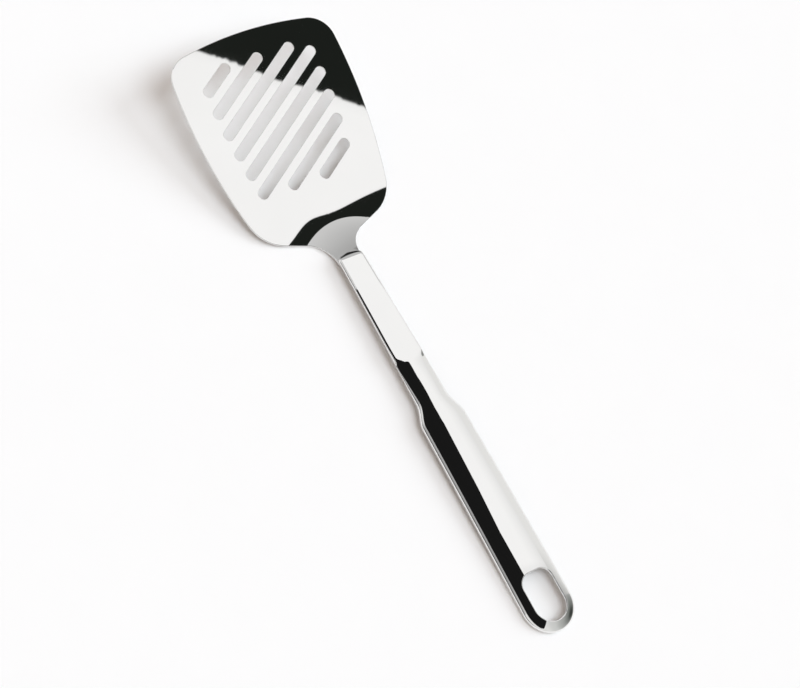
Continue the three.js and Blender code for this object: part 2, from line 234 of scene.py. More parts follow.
# Blade plan
def arc(centre, radius, start, stop, step, inward=False):
    """Points of an arc and its outward directions, as rows of x, y, out x, out y."""
    count = max(3, math.ceil(abs(stop - start) * radius / step))
    turn = np.linspace(start, stop, count + 1)
    way = np.stack([np.cos(turn), np.sin(turn)], -1)
    return np.hstack([np.array(centre) + radius * way, -way if inward else way])


def straight(start, stop, out, step):
    start, stop = np.array(start), np.array(stop)
    count = max(1, math.ceil(np.linalg.norm(stop - start) / step))
    t = np.linspace(0, 1, count + 1)[:, None]
    return np.hstack([start + (stop - start) * t, np.tile(out, (count + 1, 1))])


def bearing(start, stop):
    return math.atan2(stop[1] - start[1], stop[0] - start[0]) % (2 * math.pi)


FRONT_CENTRE = (BLADE_FRONT - FRONT_RADIUS, 0)
SIDE_CENTRE = (WIDEST_AT, BLADE_WIDTH / 2 - SIDE_RADIUS)


def corner_centre():
    first, second = np.array(FRONT_CENTRE, float), np.array(SIDE_CENTRE, float)
    r1, r2 = FRONT_RADIUS - CORNER_RADIUS, SIDE_RADIUS - CORNER_RADIUS
    gap = np.linalg.norm(second - first)
    along = (r1**2 - r2**2 + gap**2) / (2 * gap)
    across = math.sqrt(r1**2 - along**2)
    way = (second - first) / gap
    return first + way * along + np.array([-way[1], way[0]]) * across


def blade_outline():
    """The closed outline, from the middle of the front edge round by the left."""
    corner = corner_centre()
    rise = math.sqrt((SIDE_RADIUS - SHOULDER_RADIUS) ** 2 - (SHOULDER_AT - WIDEST_AT) ** 2)
    shoulder = (SHOULDER_AT, SIDE_CENTRE[1] + rise)
    neck = (NECK_AT, NECK_WIDTH / 2 + NECK_FILLET)
    front_turn = bearing(FRONT_CENTRE, corner)
    corner_turn = bearing(SIDE_CENTRE, corner)
    side_turn = bearing(SIDE_CENTRE, shoulder)
    span = math.hypot(neck[0] - shoulder[0], neck[1] - shoulder[1])
    heel_turn = bearing(shoulder, neck) - math.acos((SHOULDER_RADIUS + NECK_FILLET) / span)
    tongue_end = float(handle_point(TONGUE_LENGTH, 0, 0)[0])
    half = TONGUE_WIDTH / 2
    rows = [
        arc(FRONT_CENTRE, FRONT_RADIUS, 0, front_turn, 1.5),
        arc(corner, CORNER_RADIUS, front_turn, corner_turn, 0.7),
        arc(SIDE_CENTRE, SIDE_RADIUS, corner_turn, side_turn, 1.5),
        arc(shoulder, SHOULDER_RADIUS, side_turn, heel_turn, 0.6),
    ]
    heel_start = rows[-1][-1]
    fillet = arc(neck, NECK_FILLET, heel_turn - math.pi, -math.pi / 2, 0.4, inward=True)
    rows += [
        straight(heel_start[:2], fillet[0, :2], heel_start[2:], 0.5),
        fillet,
        straight((NECK_AT, NECK_WIDTH / 2), (NECK_AT - TONGUE_CORNER, half), (0, 1), 0.5),
        straight((NECK_AT - TONGUE_CORNER, half), (tongue_end + TONGUE_CORNER, half), (0, 1), 1),
        arc((tongue_end + TONGUE_CORNER, half - TONGUE_CORNER), TONGUE_CORNER, math.pi / 2, math.pi, 0.6),
    ]
    left = rows[0]
    for row in rows[1:]:
        left = np.vstack([left, row[1:]])
    right = left[::-1][:-1] * np.array([1, -1, 1, -1])
    return np.vstack([left, right])


def side_reach(x):
    return SIDE_CENTRE[1] + math.sqrt(SIDE_RADIUS**2 - (x - SIDE_CENTRE[0]) ** 2)


def slot_reach(start, way):
    low, high = 0.0, float(BLADE_WIDTH)
    for _ in range(40):
        t = (low + high) / 2
        x, y = start + way * t
        right = SLOT_RIGHT_MARGIN + SLOT_RIGHT_DRAW_IN * max(0, WIDEST_AT - x)
        margin = SLOT_LEFT_MARGIN if y > 0 else right
        lengthwise = SLOT_REAR_AT <= x <= BLADE_FRONT - SLOT_FRONT_MARGIN
        if lengthwise and abs(y) <= side_reach(x) - margin:
            low = t
        else:
            high = t
    return low


def slot_line(number):
    """The ends of a slot's centre line, each half a slot's width short of its tip."""
    slant = math.radians(SLOT_SLANT)
    way = np.array([math.cos(slant), -math.sin(slant)])
    offset = (SLOT_COUNT - 1) / 2 - number
    start = np.array([SLOT_PATTERN_AT + offset * SLOT_PITCH / math.sin(slant), 0])
    middle = (BLADE_FRONT - SLOT_FRONT_MARGIN + SLOT_REAR_AT) / 2
    start = start + way * (middle - start[0]) * way[0]
    ahead = slot_reach(start, way) - SLOT_WIDTH / 2
    behind = slot_reach(start, -way) - SLOT_WIDTH / 2
    return start + way * ahead, start - way * behind


def slot_loop(number):
    """A slot's closed outline with the metal on the left; out points into the slot."""
    ahead, behind = slot_line(number)
    turn = math.atan2(*(ahead - behind)[::-1])
    radius = SLOT_WIDTH / 2
    nose = arc(ahead, radius, turn + math.pi / 2, turn - math.pi / 2, 0.35, inward=True)
    tail = arc(behind, radius, turn - math.pi / 2, turn - 3 * math.pi / 2, 0.35, inward=True)
    first = straight(nose[-1, :2], tail[0, :2], nose[-1, 2:], 2)[1:-1]
    second = straight(tail[-1, :2], nose[0, :2], tail[-1, 2:], 2)[1:-1]
    return np.vstack([nose, first, tail, second])


# Slight wave in the flat's normals, fitted to the edge of the dark reflection in the photo
WAVE_SLOPE = 0.0005
WAVE_LENGTH = 52
WAVE_WAY = (-0.682, -0.731)
WAVE_AT = (51.4, 15.9)

# Slight unevenness in the heel's normals from side to side, fitted to the dark band in the photo
BEND_LEAN = 3.6
LEAD_UNEVEN = 0.0091
LEAD_EASED = 0.0033
UNEVEN_AT = 10.5
UNEVEN_WIDTH = 12.5

# Heights of the middle of the blade's sheet
TONGUE_OFFSET = HANDLE_SHEET / 2 + LAP_GAP + BLADE_SHEET / 2


def sheet_height(x, y, lean=0):
    past = np.clip(HEEL_AT - x - y**2 / (2 * LEAD_ARCH_RADIUS), -LEAD_REACH, None)
    foot = math.exp(-LEAD_REACH / LEAD_LENGTH)
    lead = LEAD_LENGTH * (np.exp(past / LEAD_LENGTH) - foot) - (past + LEAD_REACH) * foot
    arch = y * (y + 2 * BEND_LEAN * lean) / (2 * BEND_ARCH_RADIUS)
    bend = np.clip(HEEL_AT + BEND_REACH - x - arch, 0, None)
    heel = LEAD_SLOPE * lead + bend**2 / (2 * BEND_RADIUS)
    tongue = BOW_Z + np.sqrt((BOW_RADIUS - TONGUE_OFFSET) ** 2 - (x - BOW_X) ** 2)
    ease = np.clip(FOLD_BEND - np.abs(heel - tongue), 0, None)
    return np.where(x > HEEL_AT, heel, np.minimum(heel, tongue) - ease**2 / (4 * FOLD_BEND))


def sheet_normal(x, y):
    probe = 1e-3
    lean = smoothstep(x, NECK_AT + 4, NECK_AT + 12)
    slope_x = (sheet_height(x + probe, y, lean) - sheet_height(x - probe, y, lean)) / (2 * probe)
    slope_y = (sheet_height(x, y + probe, lean) - sheet_height(x, y - probe, lean)) / (2 * probe)
    uneven = LEAD_UNEVEN * np.exp(-(((y - UNEVEN_AT) / UNEVEN_WIDTH) ** 2)) - LEAD_EASED
    slope_x = slope_x - uneven * lean * (1 - smoothstep(x, HEEL_AT + 14, HEEL_AT + 22))
    along_wave = (x - WAVE_AT[0]) * WAVE_WAY[0] + (y - WAVE_AT[1]) * WAVE_WAY[1]
    slope_x = slope_x + WAVE_SLOPE * np.cos(2 * math.pi * along_wave / WAVE_LENGTH)
    return unit(np.stack([-slope_x, -slope_y, np.ones_like(slope_x)], -1))


def on_sheet(plan, offset):
    x, y = plan[:, 0], plan[:, 1]
    normal = sheet_normal(x, y)
    return np.stack([x, y, sheet_height(x, y)], -1) + normal * offset, normal


def grid(x0, x1, y0, y1, step):
    x, y = np.meshgrid(np.arange(x0, x1, step), np.arange(y0, y1, step))
    return np.stack([x.ravel(), y.ravel()], -1)


def build_blade():
    outline = blade_outline()
    slots = [slot_loop(n) for n in range(SLOT_COUNT)]
    rounds = [outline, *slots]
    edges = [BLADE_EDGE] + [SLOT_EDGE] * SLOT_COUNT
    inset = [r[:, :2] - r[:, 2:] * e for r, e in zip(rounds, edges)]

    # Inner points: wide apart on the flat, close together through the heel and the fold
    left = outline[: len(outline) // 2 + 1]
    order = np.argsort(left[:, 0])
    plan = np.vstack([
        grid(-22, BLADE_FRONT, -BLADE_WIDTH / 2, BLADE_WIDTH / 2, 2),
        grid(-66, -22.3, -BLADE_WIDTH / 2, BLADE_WIDTH / 2, 0.7),
        grid(-100, -66.4, -TONGUE_WIDTH / 2, TONGUE_WIDTH / 2, 2),
    ])
    plan = plan[np.abs(plan[:, 1]) < np.interp(plan[:, 0], left[order, 0], left[order, 1])]
    for number in range(SLOT_COUNT):
        ahead, behind = slot_line(number)
        run = ahead - behind
        t = np.clip((plan - behind) @ run / (run @ run), 0, 1)
        away = np.linalg.norm(plan - behind - t[:, None] * run, axis=1)
        plan = plan[away > SLOT_WIDTH / 2 + BLADE_EDGE + 0.8]
    plan = clear_of(plan, inset[:1], 0.55)
    flat = np.concatenate([*inset, plan])
    triangles = fill(inset, plan)

    build = Builder()
    half = BLADE_SHEET / 2
    top, normal = on_sheet(flat, half)
    top_ids = build.add(top, normal)
    bottom, normal = on_sheet(flat, -half)
    bottom_ids = build.add(bottom, -normal)
    build.triangles(top_ids, triangles, False)
    build.triangles(bottom_ids, triangles, True)

    # Rounded edges
    turns = np.radians([22.5, 45, 67.5, 90])
    start = 0
    for edge, loop, radius in zip(rounds, inset, edges):
        profile = [(radius * math.sin(a), half - radius * (1 - math.cos(a)), a) for a in turns]
        profile += [(out, -level, math.pi - a) for out, level, a in reversed(profile)]
        n = len(loop)
        upper = top_ids[start : start + n]
        for out, level, a in profile:
            points, up = on_sheet(loop + edge[:, 2:] * out, level)
            way = np.hstack([edge[:, 2:], np.zeros((n, 1))])
            way = unit(way - up * np.sum(way * up, 1, keepdims=True))
            lower = build.add(points, up * math.cos(a) + way * math.sin(a))
            build.band(upper, lower)
            upper = lower
        build.band(upper, bottom_ids[start : start + n])
        start += n
    return build.make("turner_blade")


# Handle section
GRIP_RADIUS = GRIP_REAR_WIDTH / 2
GRIP_END_CENTRE = HANDLE_LENGTH - GRIP_RADIUS
FLARE_END = FLARE_START + FLARE_LENGTH


def half_width(along):
    corner = SHANK_FRONT_CORNER - np.minimum(along, SHANK_FRONT_CORNER)
    cut = SHANK_FRONT_CORNER - np.sqrt(SHANK_FRONT_CORNER**2 - corner**2)
    shank = SHANK_FRONT_WIDTH + (SHANK_REAR_WIDTH - SHANK_FRONT_WIDTH) * along / FLARE_START
    share = (along - FLARE_END) / (GRIP_END_CENTRE - FLARE_END)
    grip = GRIP_FRONT_WIDTH + (GRIP_REAR_WIDTH - GRIP_FRONT_WIDTH) * share
    shank = shank / 2 - cut
    return shank + (grip / 2 - shank) * smoothstep(along, FLARE_START, FLARE_END)


def crown_share(along):
    return smoothstep(along, CROWN_START, CROWN_START + CROWN_LENGTH)


def rim_height(along):
    return -HANDLE_SHEET / 2 - RIM_DROP * crown_share(along)


def ridge_height(along):
    return HANDLE_SHEET / 2 + CROWN_RISE * crown_share(along)


def skirt_height(along):
    return SHANK_SKIRT + (GRIP_SKIRT - SHANK_SKIRT) * crown_share(along)


def section_fall(out, along):
    roof_end = ROOF_START + ROOF_LENGTH
    crowned = smoothstep(along, roof_end, roof_end + 2 * ROOF_LENGTH)
    crown = ROOF_SQUARENESS + (GRIP_SQUARENESS - ROOF_SQUARENESS) * crowned
    squareness = SHANK_SQUARENESS * (crown / SHANK_SQUARENESS) ** smoothstep(along, ROOF_START, roof_end)
    return 1 - np.clip(1 - np.clip(out, 0, 1) ** squareness, 0, None) ** ROLL_EXPONENT


# The handle's faces are drawn on a flat map: lengths run along it, and across it the turn from the middle
# line to the side, so that the rolled sides and the round end have evenly spaced points.
MAP_SCALE = 8.0
MAP_SIDE = MAP_SCALE * math.pi / 2
LAND_SHARE = 0.8


def spread(plan_map):
    """Length along, length past the end's centre, turn from the middle line, and shares ahead and aside."""
    p, q = plan_map[..., 0], plan_map[..., 1]
    past = np.clip(p - GRIP_END_CENTRE, 0, None)
    reach = np.hypot(past, q)
    turn = np.where(past > 0, reach, np.abs(q)) / MAP_SCALE
    safe = np.where(reach > 0, reach, 1)
    return p, past, turn, past / safe, q / safe


def arched(along, share):
    ease = 1 - smoothstep(along, 0, LIP_EASE)
    return along - (SHANK_LIP + SHANK_FRONT_ARCH * (1 - share**2)) * ease


def place(plan_map, shares, heights):
    """Points of a face from the map, with its share of the half width and its height off the line."""
    p, past, turn, ahead, aside = spread(plan_map)
    share, inset = shares(np.clip(turn, 0, math.pi / 2))
    radius = GRIP_RADIUS - inset
    ended = past > 0
    along = np.where(ended, GRIP_END_CENTRE + radius * share * ahead, p)
    straight_across = np.sign(plan_map[..., 1]) * share * (half_width(np.minimum(p, GRIP_END_CENTRE)) - inset)
    across = np.where(ended, radius * share * aside, straight_across)
    signed = np.where(ended, 0, np.sign(plan_map[..., 1]) * share)
    return handle_point(arched(along, signed), across, heights(along, share, turn))


def top_face(plan_map):
    def shares(turn):
        return np.sin(turn), 0

    def heights(along, share, turn):
        ridge = ridge_height(along)
        skirt = skirt_height(along)
        fall = ridge - rim_height(along) - skirt
        inside = np.clip(SHANK_EDGE - along, 0, SHANK_EDGE)
        front = math.tan(math.radians(SHANK_BEVEL)) * (np.sqrt(inside**2 + 0.01) - 0.1)
        return np.maximum(ridge - fall * section_fall(share, along) - front, rim_height(along) + skirt / 2)

    return place(plan_map, shares, heights)


def under_face(plan_map):
    limit = LAND_SHARE * math.pi / 2

    def shares(turn):
        return np.sin(np.clip(turn / limit, 0, 1) * math.pi / 2), HANDLE_SHEET

    def heights(along, share, turn):
        rim = rim_height(along)
        ridge = ridge_height(along) - HANDLE_SHEET
        return ridge - (ridge - rim) * section_fall(share, along)

    inner = place(plan_map, shares, heights)

    def land_shares(turn):
        outward = np.clip((turn - limit) / (math.pi / 2 - limit), 0, 1)
        return np.ones_like(turn), HANDLE_SHEET * (1 - outward) + RIM_EDGE

    def land_heights(along, share, turn):
        return rim_height(along)

    land = place(plan_map, land_shares, land_heights)
    turn = spread(plan_map)[2]
    return np.where((turn <= limit)[..., None], inner, land)


def face_normals(face, plan_map, up):
    probe = 0.02
    step_p, step_q = np.array([probe, 0]), np.array([0, probe])
    along = face(plan_map + step_p) - face(plan_map - step_p)
    across = face(plan_map + step_q) - face(plan_map - step_q)
    normal = unit(np.cross(across, along))
    return normal if up else -normal


def eye_loop():
    """The eye's outline, lengths along and across, with out pointing into the eye; metal on the left."""
    half, radius = EYE_WIDTH / 2, EYE_FRONT_RADIUS
    front = HANDLE_LENGTH - EYE_TO_END - EYE_LENGTH
    rear_centre = HANDLE_LENGTH - EYE_TO_END - half
    rows = [
        arc((rear_centre, 0), half, math.pi / 2, -math.pi / 2, 0.35, inward=True),
        arc((front + radius, radius - half), radius, -math.pi / 2, -math.pi, 0.35, inward=True),
        arc((front + radius, half - radius), radius, math.pi, math.pi / 2, 0.35, inward=True),
    ]
    loop = rows[0]
    for row in [straight(rows[0][-1, :2], rows[1][0, :2], (0, 1), 0.6)[1:], rows[1][1:],
                straight(rows[1][-1, :2], rows[2][0, :2], (1, 0), 0.6)[1:], rows[2][1:],
                straight(rows[2][-1, :2], rows[0][0, :2], (0, -1), 0.6)[1:-1]]:
        loop = np.vstack([loop, row])
    return loop[::-1]


def eye_on_map(loop, inset, limit):
    """The eye's plan points on a face's map, by that face's own spread from middle to side."""
    along, across = loop[:, 0], loop[:, 1]
    past = np.clip(along - GRIP_END_CENTRE, 0, None)
    radius = GRIP_RADIUS - inset
    reach = np.hypot(past, across)
    width = half_width(np.minimum(along, GRIP_END_CENTRE)) - inset
    share = np.where(past > 0, reach / radius, np.abs(across) / width)
    turn = np.arcsin(np.clip(share, 0, 1)) * limit * MAP_SCALE
    safe = np.where(reach > 0, reach, 1)
    p = np.where(past > 0, GRIP_END_CENTRE + turn * past / safe, along)
    q = np.where(past > 0, turn * across / safe, np.sign(across) * turn)
    return np.stack([p, q], -1)


def rim_on_map(lengths, rows_across):
    """The closed edge of the map, round by the left: front, left side, round end, right side."""
    across = np.linspace(MAP_SIDE, -MAP_SIDE, rows_across)
    front = np.stack([np.zeros_like(across), across], -1)[::-1]
    left = np.stack([lengths[1:], np.full(len(lengths) - 1, MAP_SIDE)], -1)
    turns = np.linspace(math.pi / 2, -math.pi / 2, 60)[1:-1]
    end = np.stack([GRIP_END_CENTRE + MAP_SIDE * np.cos(turns), MAP_SIDE * np.sin(turns)], -1)
    right = np.stack([lengths[1:], np.full(len(lengths) - 1, -MAP_SIDE)], -1)[::-1]
    return np.vstack([front, left, end, right])


def map_points(lengths, turns):
    """Inner points of the map: rows along the lengths, and rings round the end."""
    p, q = np.meshgrid(lengths[1:], turns)
    body = np.stack([p.ravel(), q.ravel()], -1)
    rings = []
    for turn in turns[turns > 0]:
        n = max(6, int(turn / 0.45))
        a = np.linspace(math.pi / 2, -math.pi / 2, n + 2)[1:-1]
        rings.append(np.stack([GRIP_END_CENTRE + turn * np.cos(a), turn * np.sin(a)], -1))
    return np.vstack([body, *rings])


def build_handle():
    fine = np.concatenate([
        np.linspace(0, SHANK_EDGE - 0.4, 4),
        np.linspace(SHANK_EDGE - 0.3, SHANK_EDGE + 0.06, 9),
        np.arange(SHANK_EDGE + 0.6, LIP_EASE, 0.6),
        np.arange(LIP_EASE, CROWN_START - 1, 2),
        np.arange(CROWN_START - 1, CROWN_START + CROWN_LENGTH + 2, 0.8),
        np.arange(CROWN_START + CROWN_LENGTH + 2, GRIP_END_CENTRE, 1.2),
        [GRIP_END_CENTRE],
    ])
    fine = fine[np.concatenate([[True], np.diff(fine) > 0.005])]
    rim_map = rim_on_map(fine, 41)
    eye = eye_loop()

    def inside_eye(points, hole):
        """True where a map point lies within the eye's loop on the map."""
        x, y = points[:, 0], points[:, 1]
        crossing = np.zeros(len(points), bool)
        for a, b in zip(hole, np.roll(hole, -1, axis=0)):
            spans = (a[1] > y) != (b[1] > y)
            with np.errstate(divide="ignore", invalid="ignore"):
                at = (b[0] - a[0]) * (y - a[1]) / (b[1] - a[1]) + a[0]
            crossing ^= spans & (x < at)
        return crossing

    build = Builder()

    def surface(face, hole, turns, lengths, up):
        inner = map_points(lengths, turns)
        inner = inner[~inside_eye(inner, hole)]
        inner = clear_of(inner, [hole], 0.25)
        inner = clear_of(inner, [rim_map], 0.05)
        plan = np.concatenate([rim_map, hole, inner])
        ids = build.add(face(plan), face_normals(face, plan, up))
        build.triangles(ids, fill([rim_map, hole], inner), up)
        return ids

    degree = MAP_SCALE * math.pi / 180
    top_hole = eye_on_map(eye[:, :2] - eye[:, 2:] * EYE_EDGE, 0, 1)
    under_hole = eye_on_map(eye[:, :2] - eye[:, 2:] * RIM_EDGE, HANDLE_SHEET, LAND_SHARE)
    top_ids = surface(top_face, top_hole, np.arange(-87, 88, 3) * degree, fine, True)
    under_turns = np.concatenate([np.arange(-70, 71, 5), [-71.9, 71.9, -72.1, 72.1, -81, 81]]) * degree
    under_ids = surface(under_face, under_hole, np.sort(under_turns), fine, False)

    # Outer wall, from the rolled side down to the rim and round its edge
    n = len(rim_map)
    top_edge = build.points[0][:n]
    top_normal = build.normals[0][:n]
    land_edge = build.points[1][:n]
    outward = unit(np.stack([top_normal[:, 0], top_normal[:, 1], np.zeros(n)], -1))
    fronts = rim_map[:, 0] < 1e-6
    outward[fronts] = unit(np.stack([np.ones(n), 0.15 * rim_map[:, 1] / MAP_SIDE, np.zeros(n)], -1))[fronts]
    down = np.tile([0.0, 0.0, -1.0], (n, 1))
    upper = top_ids[:n]
    for a in np.radians([0, 30, 60]):
        corner = land_edge + outward * RIM_EDGE * math.cos(a) + down * RIM_EDGE * (math.sin(a) - 1)
        if a == 0:
            corner[:, :2] = top_edge[:, :2]
        lower = build.add(corner, outward * math.cos(a) + down * math.sin(a))
        build.band(upper, lower)
        upper = lower
    build.band(upper, under_ids[:n])

    # Wall of the eye, rounded at the top and a little at the bottom
    m = len(eye)
    top_ring = build.points[0][n : n + m]
    top_up = build.normals[0][n : n + m]
    low_ring = build.points[1][n : n + m]
    low_down = build.normals[1][n : n + m]
    way = np.stack([-eye[:, 2] * math.cos(CLIMB), eye[:, 3], eye[:, 2] * math.sin(CLIMB)], -1)
    way_top = unit(way - top_up * np.sum(way * top_up, 1, keepdims=True))
    way_low = unit(way - low_down * np.sum(way * low_down, 1, keepdims=True))
    upper = top_ids[n : n + m]
    for a in np.radians([18, 36, 54, 72, 90]):
        ring = top_ring + way_top * EYE_EDGE * math.sin(a) - top_up * EYE_EDGE * (1 - math.cos(a))
        lower = build.add(ring, top_up * math.cos(a) + way_top * math.sin(a))
        build.band(upper, lower)
        upper = lower
    for a in np.radians([90, 60, 30]):
        ring = low_ring + way_low * RIM_EDGE * math.sin(a) - low_down * RIM_EDGE * (1 - math.cos(a))
        lower = build.add(ring, low_down * math.cos(a) + way_low * math.sin(a))
        build.band(upper, lower)
        upper = lower
    build.band(upper, under_ids[n : n + m])
    return build.make("turner_handle")


# Materials
def node_material(name):
    material = bpy.data.materials.new(name)
    material.use_nodes = True
    nodes = material.node_tree.nodes
    return material, nodes, material.node_tree.links, nodes["Principled BSDF"]


def ramp(nodes, stops):
    node = nodes.new("ShaderNodeValToRGB")
    elements = node.color_ramp.elements
    while len(elements) < len(stops):
        elements.new(0.5)
    for element, (position, colour) in zip(elements, stops):
        element.position = position
        element.color = (*colour, 1)
    return node


def polished_steel(name, dark, light, rough):
    """Buffed sheet: a faint cloudiness in tone and gloss, and hair-fine polishing lines along X."""
    material, nodes, links, shader = node_material(name)
    shader.inputs["Metallic"].default_value = 1
    place_node = nodes.new("ShaderNodeTexCoord")
    cloud = nodes.new("ShaderNodeTexNoise")
    cloud.inputs["Scale"].default_value = 28
    cloud.inputs["Detail"].default_value = 3
    links.new(place_node.outputs["Object"], cloud.inputs["Vector"])
    tone = ramp(nodes, [(0.3, dark), (0.7, light)])
    links.new(cloud.outputs["Fac"], tone.inputs["Fac"])
    links.new(tone.outputs["Color"], shader.inputs["Base Color"])
    stretch = nodes.new("ShaderNodeMapping")
    stretch.inputs["Scale"].default_value = (60, 2600, 2600)
    links.new(place_node.outputs["Object"], stretch.inputs["Vector"])
    hair = nodes.new("ShaderNodeTexNoise")
    hair.inputs["Scale"].default_value = 1
    hair.inputs["Detail"].default_value = 2
    links.new(stretch.outputs["Vector"], hair.inputs["Vector"])
    gloss = nodes.new("ShaderNodeMapRange")
    gloss.inputs["From Min"].default_value = 0.3
    gloss.inputs["From Max"].default_value = 0.7
    gloss.inputs["To Min"].default_value = rough[0]
    gloss.inputs["To Max"].default_value = rough[1]
    links.new(hair.outputs["Fac"], gloss.inputs["Value"])
    links.new(gloss.outputs["Result"], shader.inputs["Roughness"])
    return material


def weld_steel():
    """Fused metal: grey, grainy and dull."""
    material, nodes, links, shader = node_material("weld_metal")
    shader.inputs["Metallic"].default_value = 1
    grain = nodes.new("ShaderNodeTexNoise")
    grain.inputs["Scale"].default_value = 900
    grain.inputs["Detail"].default_value = 4
    place_node = nodes.new("ShaderNodeTexCoord")
    links.new(place_node.outputs["Object"], grain.inputs["Vector"])
    tone = ramp(nodes, [(0.35, (0.34, 0.33, 0.32)), (0.65, (0.5, 0.49, 0.48))])
    links.new(grain.outputs["Fac"], tone.inputs["Fac"])
    links.new(tone.outputs["Color"], shader.inputs["Base Color"])
    gloss = nodes.new("ShaderNodeMapRange")
    gloss.inputs["To Min"].default_value = 0.4
    gloss.inputs["To Max"].default_value = 0.6
    links.new(grain.outputs["Fac"], gloss.inputs["Value"])
    links.new(gloss.outputs["Result"], shader.inputs["Roughness"])
    return material


STEEL_DARK = (0.88, 0.875, 0.865)
STEEL_LIGHT = (0.9, 0.895, 0.885)
BLADE_ROUGHNESS = (0.006, 0.014)
HANDLE_ROUGHNESS = (0.012, 0.024)
blade = build_blade()
handle = build_handle()
blade.data.materials.append(polished_steel("blade_steel", STEEL_DARK, STEEL_LIGHT, BLADE_ROUGHNESS))
handle.data.materials.append(polished_steel("handle_steel", STEEL_DARK, STEEL_LIGHT, HANDLE_ROUGHNESS))
weld_material = weld_steel()
for name in ("spot_weld_front", "spot_weld_middle", "spot_weld_rear"):
    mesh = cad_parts[name].data
    mesh.materials.clear()
    mesh.materials.append(weld_material)

for piece, node, slot in ((blade, "blade", "blade_steel"), (handle, "handle", "handle_steel")):
    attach(piece, "root")
    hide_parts(node)


# Floor
def plane(name, corners):
    mesh = bpy.data.meshes.new(name)
    mesh.from_pydata(corners, [], [tuple(range(len(corners)))])
    piece = bpy.data.objects.new(name, mesh)
    bpy.context.scene.collection.objects.link(piece)
    return piece


FLOOR_REACH = 6
floor = plane("floor", [
    (-FLOOR_REACH, -FLOOR_REACH, 0),
    (FLOOR_REACH, -FLOOR_REACH, 0),
    (FLOOR_REACH, FLOOR_REACH, 0),
    (-FLOOR_REACH, FLOOR_REACH, 0),
])
floor_material, nodes, links, shader = node_material("white_floor")
shader.inputs["Roughness"].default_value = 0.9
shader.inputs["Specular IOR Level"].default_value = 0
paper = nodes.new("ShaderNodeTexNoise")
paper.inputs["Scale"].default_value = 40
paper_place = nodes.new("ShaderNodeTexCoord")
links.new(paper_place.outputs["Object"], paper.inputs["Vector"])
paper_tone = ramp(nodes, [(0.3, (0.972, 0.968, 0.964)), (0.7, (0.978, 0.974, 0.97))])
links.new(paper.outputs["Fac"], paper_tone.inputs["Fac"])
links.new(paper_tone.outputs["Color"], shader.inputs["Base Color"])
floor.data.materials.append(floor_material)

# Low white card on the handle's right and a black one over it and on its left, seen by glossy rays alone;
# their outlines are fitted to the reflections in the photo
CARD_HEIGHT = 0.06
DARK_HEIGHT = 0.0605
CARD_LEFT = [
    (0.062, -0.018), (0.04, -0.0165), (0.002, -0.0157), (-0.0085, -0.0155),
    (-0.016, -0.0124), (-0.0215, -0.009), (-0.026, -0.0098), (-0.032, -0.0125),
    (-0.043, -0.0132), (-0.062, -0.0109), (-0.08, -0.009), (-0.105, -0.0042),
]
CARD_REAR = [(-0.13, -0.0055), (-0.154, -0.0055), (-0.154, -0.085)]
CARD_RIGHT = [(0.03, -0.085), (0.045, -0.042), (0.062, -0.042)]
DARK_FRONT = [(0.043, -0.022), (0.043, 0.026), (0.066, 0.033), (0.066, 0.068)]
DARK_REAR = [
    (-0.26, 0.068), (-0.245, 0.04), (-0.207, 0.0175),
    (-0.183, 0.002), (-0.165, -0.009), (-0.152, -0.022),
]
DARK_GLOW = 0.01
CARD_FADE_ACROSS = (-0.085, -0.035)
CARD_DIM_RIGHT = 0.84
CARD_FADE_ALONG = (-0.152, -0.124)
CARD_DIM_REAR = 0.5


def reflector(name, outline, height):
    """A glowing card that only reflections show, with its nodes, links and glow."""
    card = plane(name, [(x, y, height) for x, y in outline])
    card.visible_camera = False
    card.visible_diffuse = False
    card.visible_shadow = False
    card.visible_transmission = False
    material = bpy.data.materials.new(name)
    material.use_nodes = True
    nodes, links = material.node_tree.nodes, material.node_tree.links
    nodes.clear()
    out = nodes.new("ShaderNodeOutputMaterial")
    glow = nodes.new("ShaderNodeEmission")
    links.new(glow.outputs["Emission"], out.inputs["Surface"])
    card.data.materials.append(material)
    return nodes, links, glow


dark_glow = reflector("black_card", DARK_FRONT + DARK_REAR, DARK_HEIGHT)[2]
dark_glow.inputs["Strength"].default_value = DARK_GLOW
card_nodes, card_links, card_glow = reflector("white_card", CARD_LEFT + CARD_REAR + CARD_RIGHT, CARD_HEIGHT)
card_place = card_nodes.new("ShaderNodeTexCoord")
card_spot = card_nodes.new("ShaderNodeSeparateXYZ")
card_across = card_nodes.new("ShaderNodeMapRange")
card_across.inputs["From Min"].default_value = CARD_FADE_ACROSS[0]
card_across.inputs["From Max"].default_value = CARD_FADE_ACROSS[1]
card_across.inputs["To Min"].default_value = CARD_DIM_RIGHT
card_along = card_nodes.new("ShaderNodeMapRange")
card_along.inputs["From Min"].default_value = CARD_FADE_ALONG[0]
card_along.inputs["From Max"].default_value = CARD_FADE_ALONG[1]
card_along.inputs["To Min"].default_value = CARD_DIM_REAR
card_tone = card_nodes.new("ShaderNodeMath")
card_tone.operation = "MULTIPLY"
card_links.new(card_place.outputs["Object"], card_spot.inputs["Vector"])
card_links.new(card_spot.outputs["Y"], card_across.inputs["Value"])
card_links.new(card_spot.outputs["X"], card_along.inputs["Value"])
card_links.new(card_across.outputs["Result"], card_tone.inputs[0])
card_links.new(card_along.outputs["Result"], card_tone.inputs[1])
card_links.new(card_tone.outputs["Value"], card_glow.inputs["Strength"])

# Studio: plain light for the floor, white to the camera, and for glossy rays walls and dark flags
# of their own, fitted to the reflections in the photo
world = bpy.data.worlds.new("studio")
bpy.context.scene.world = world
world.use_nodes = True
nodes, links = world.node_tree.nodes, world.node_tree.links
nodes.clear()
out = nodes.new("ShaderNodeOutputWorld")
way = nodes.new("ShaderNodeTexCoord")


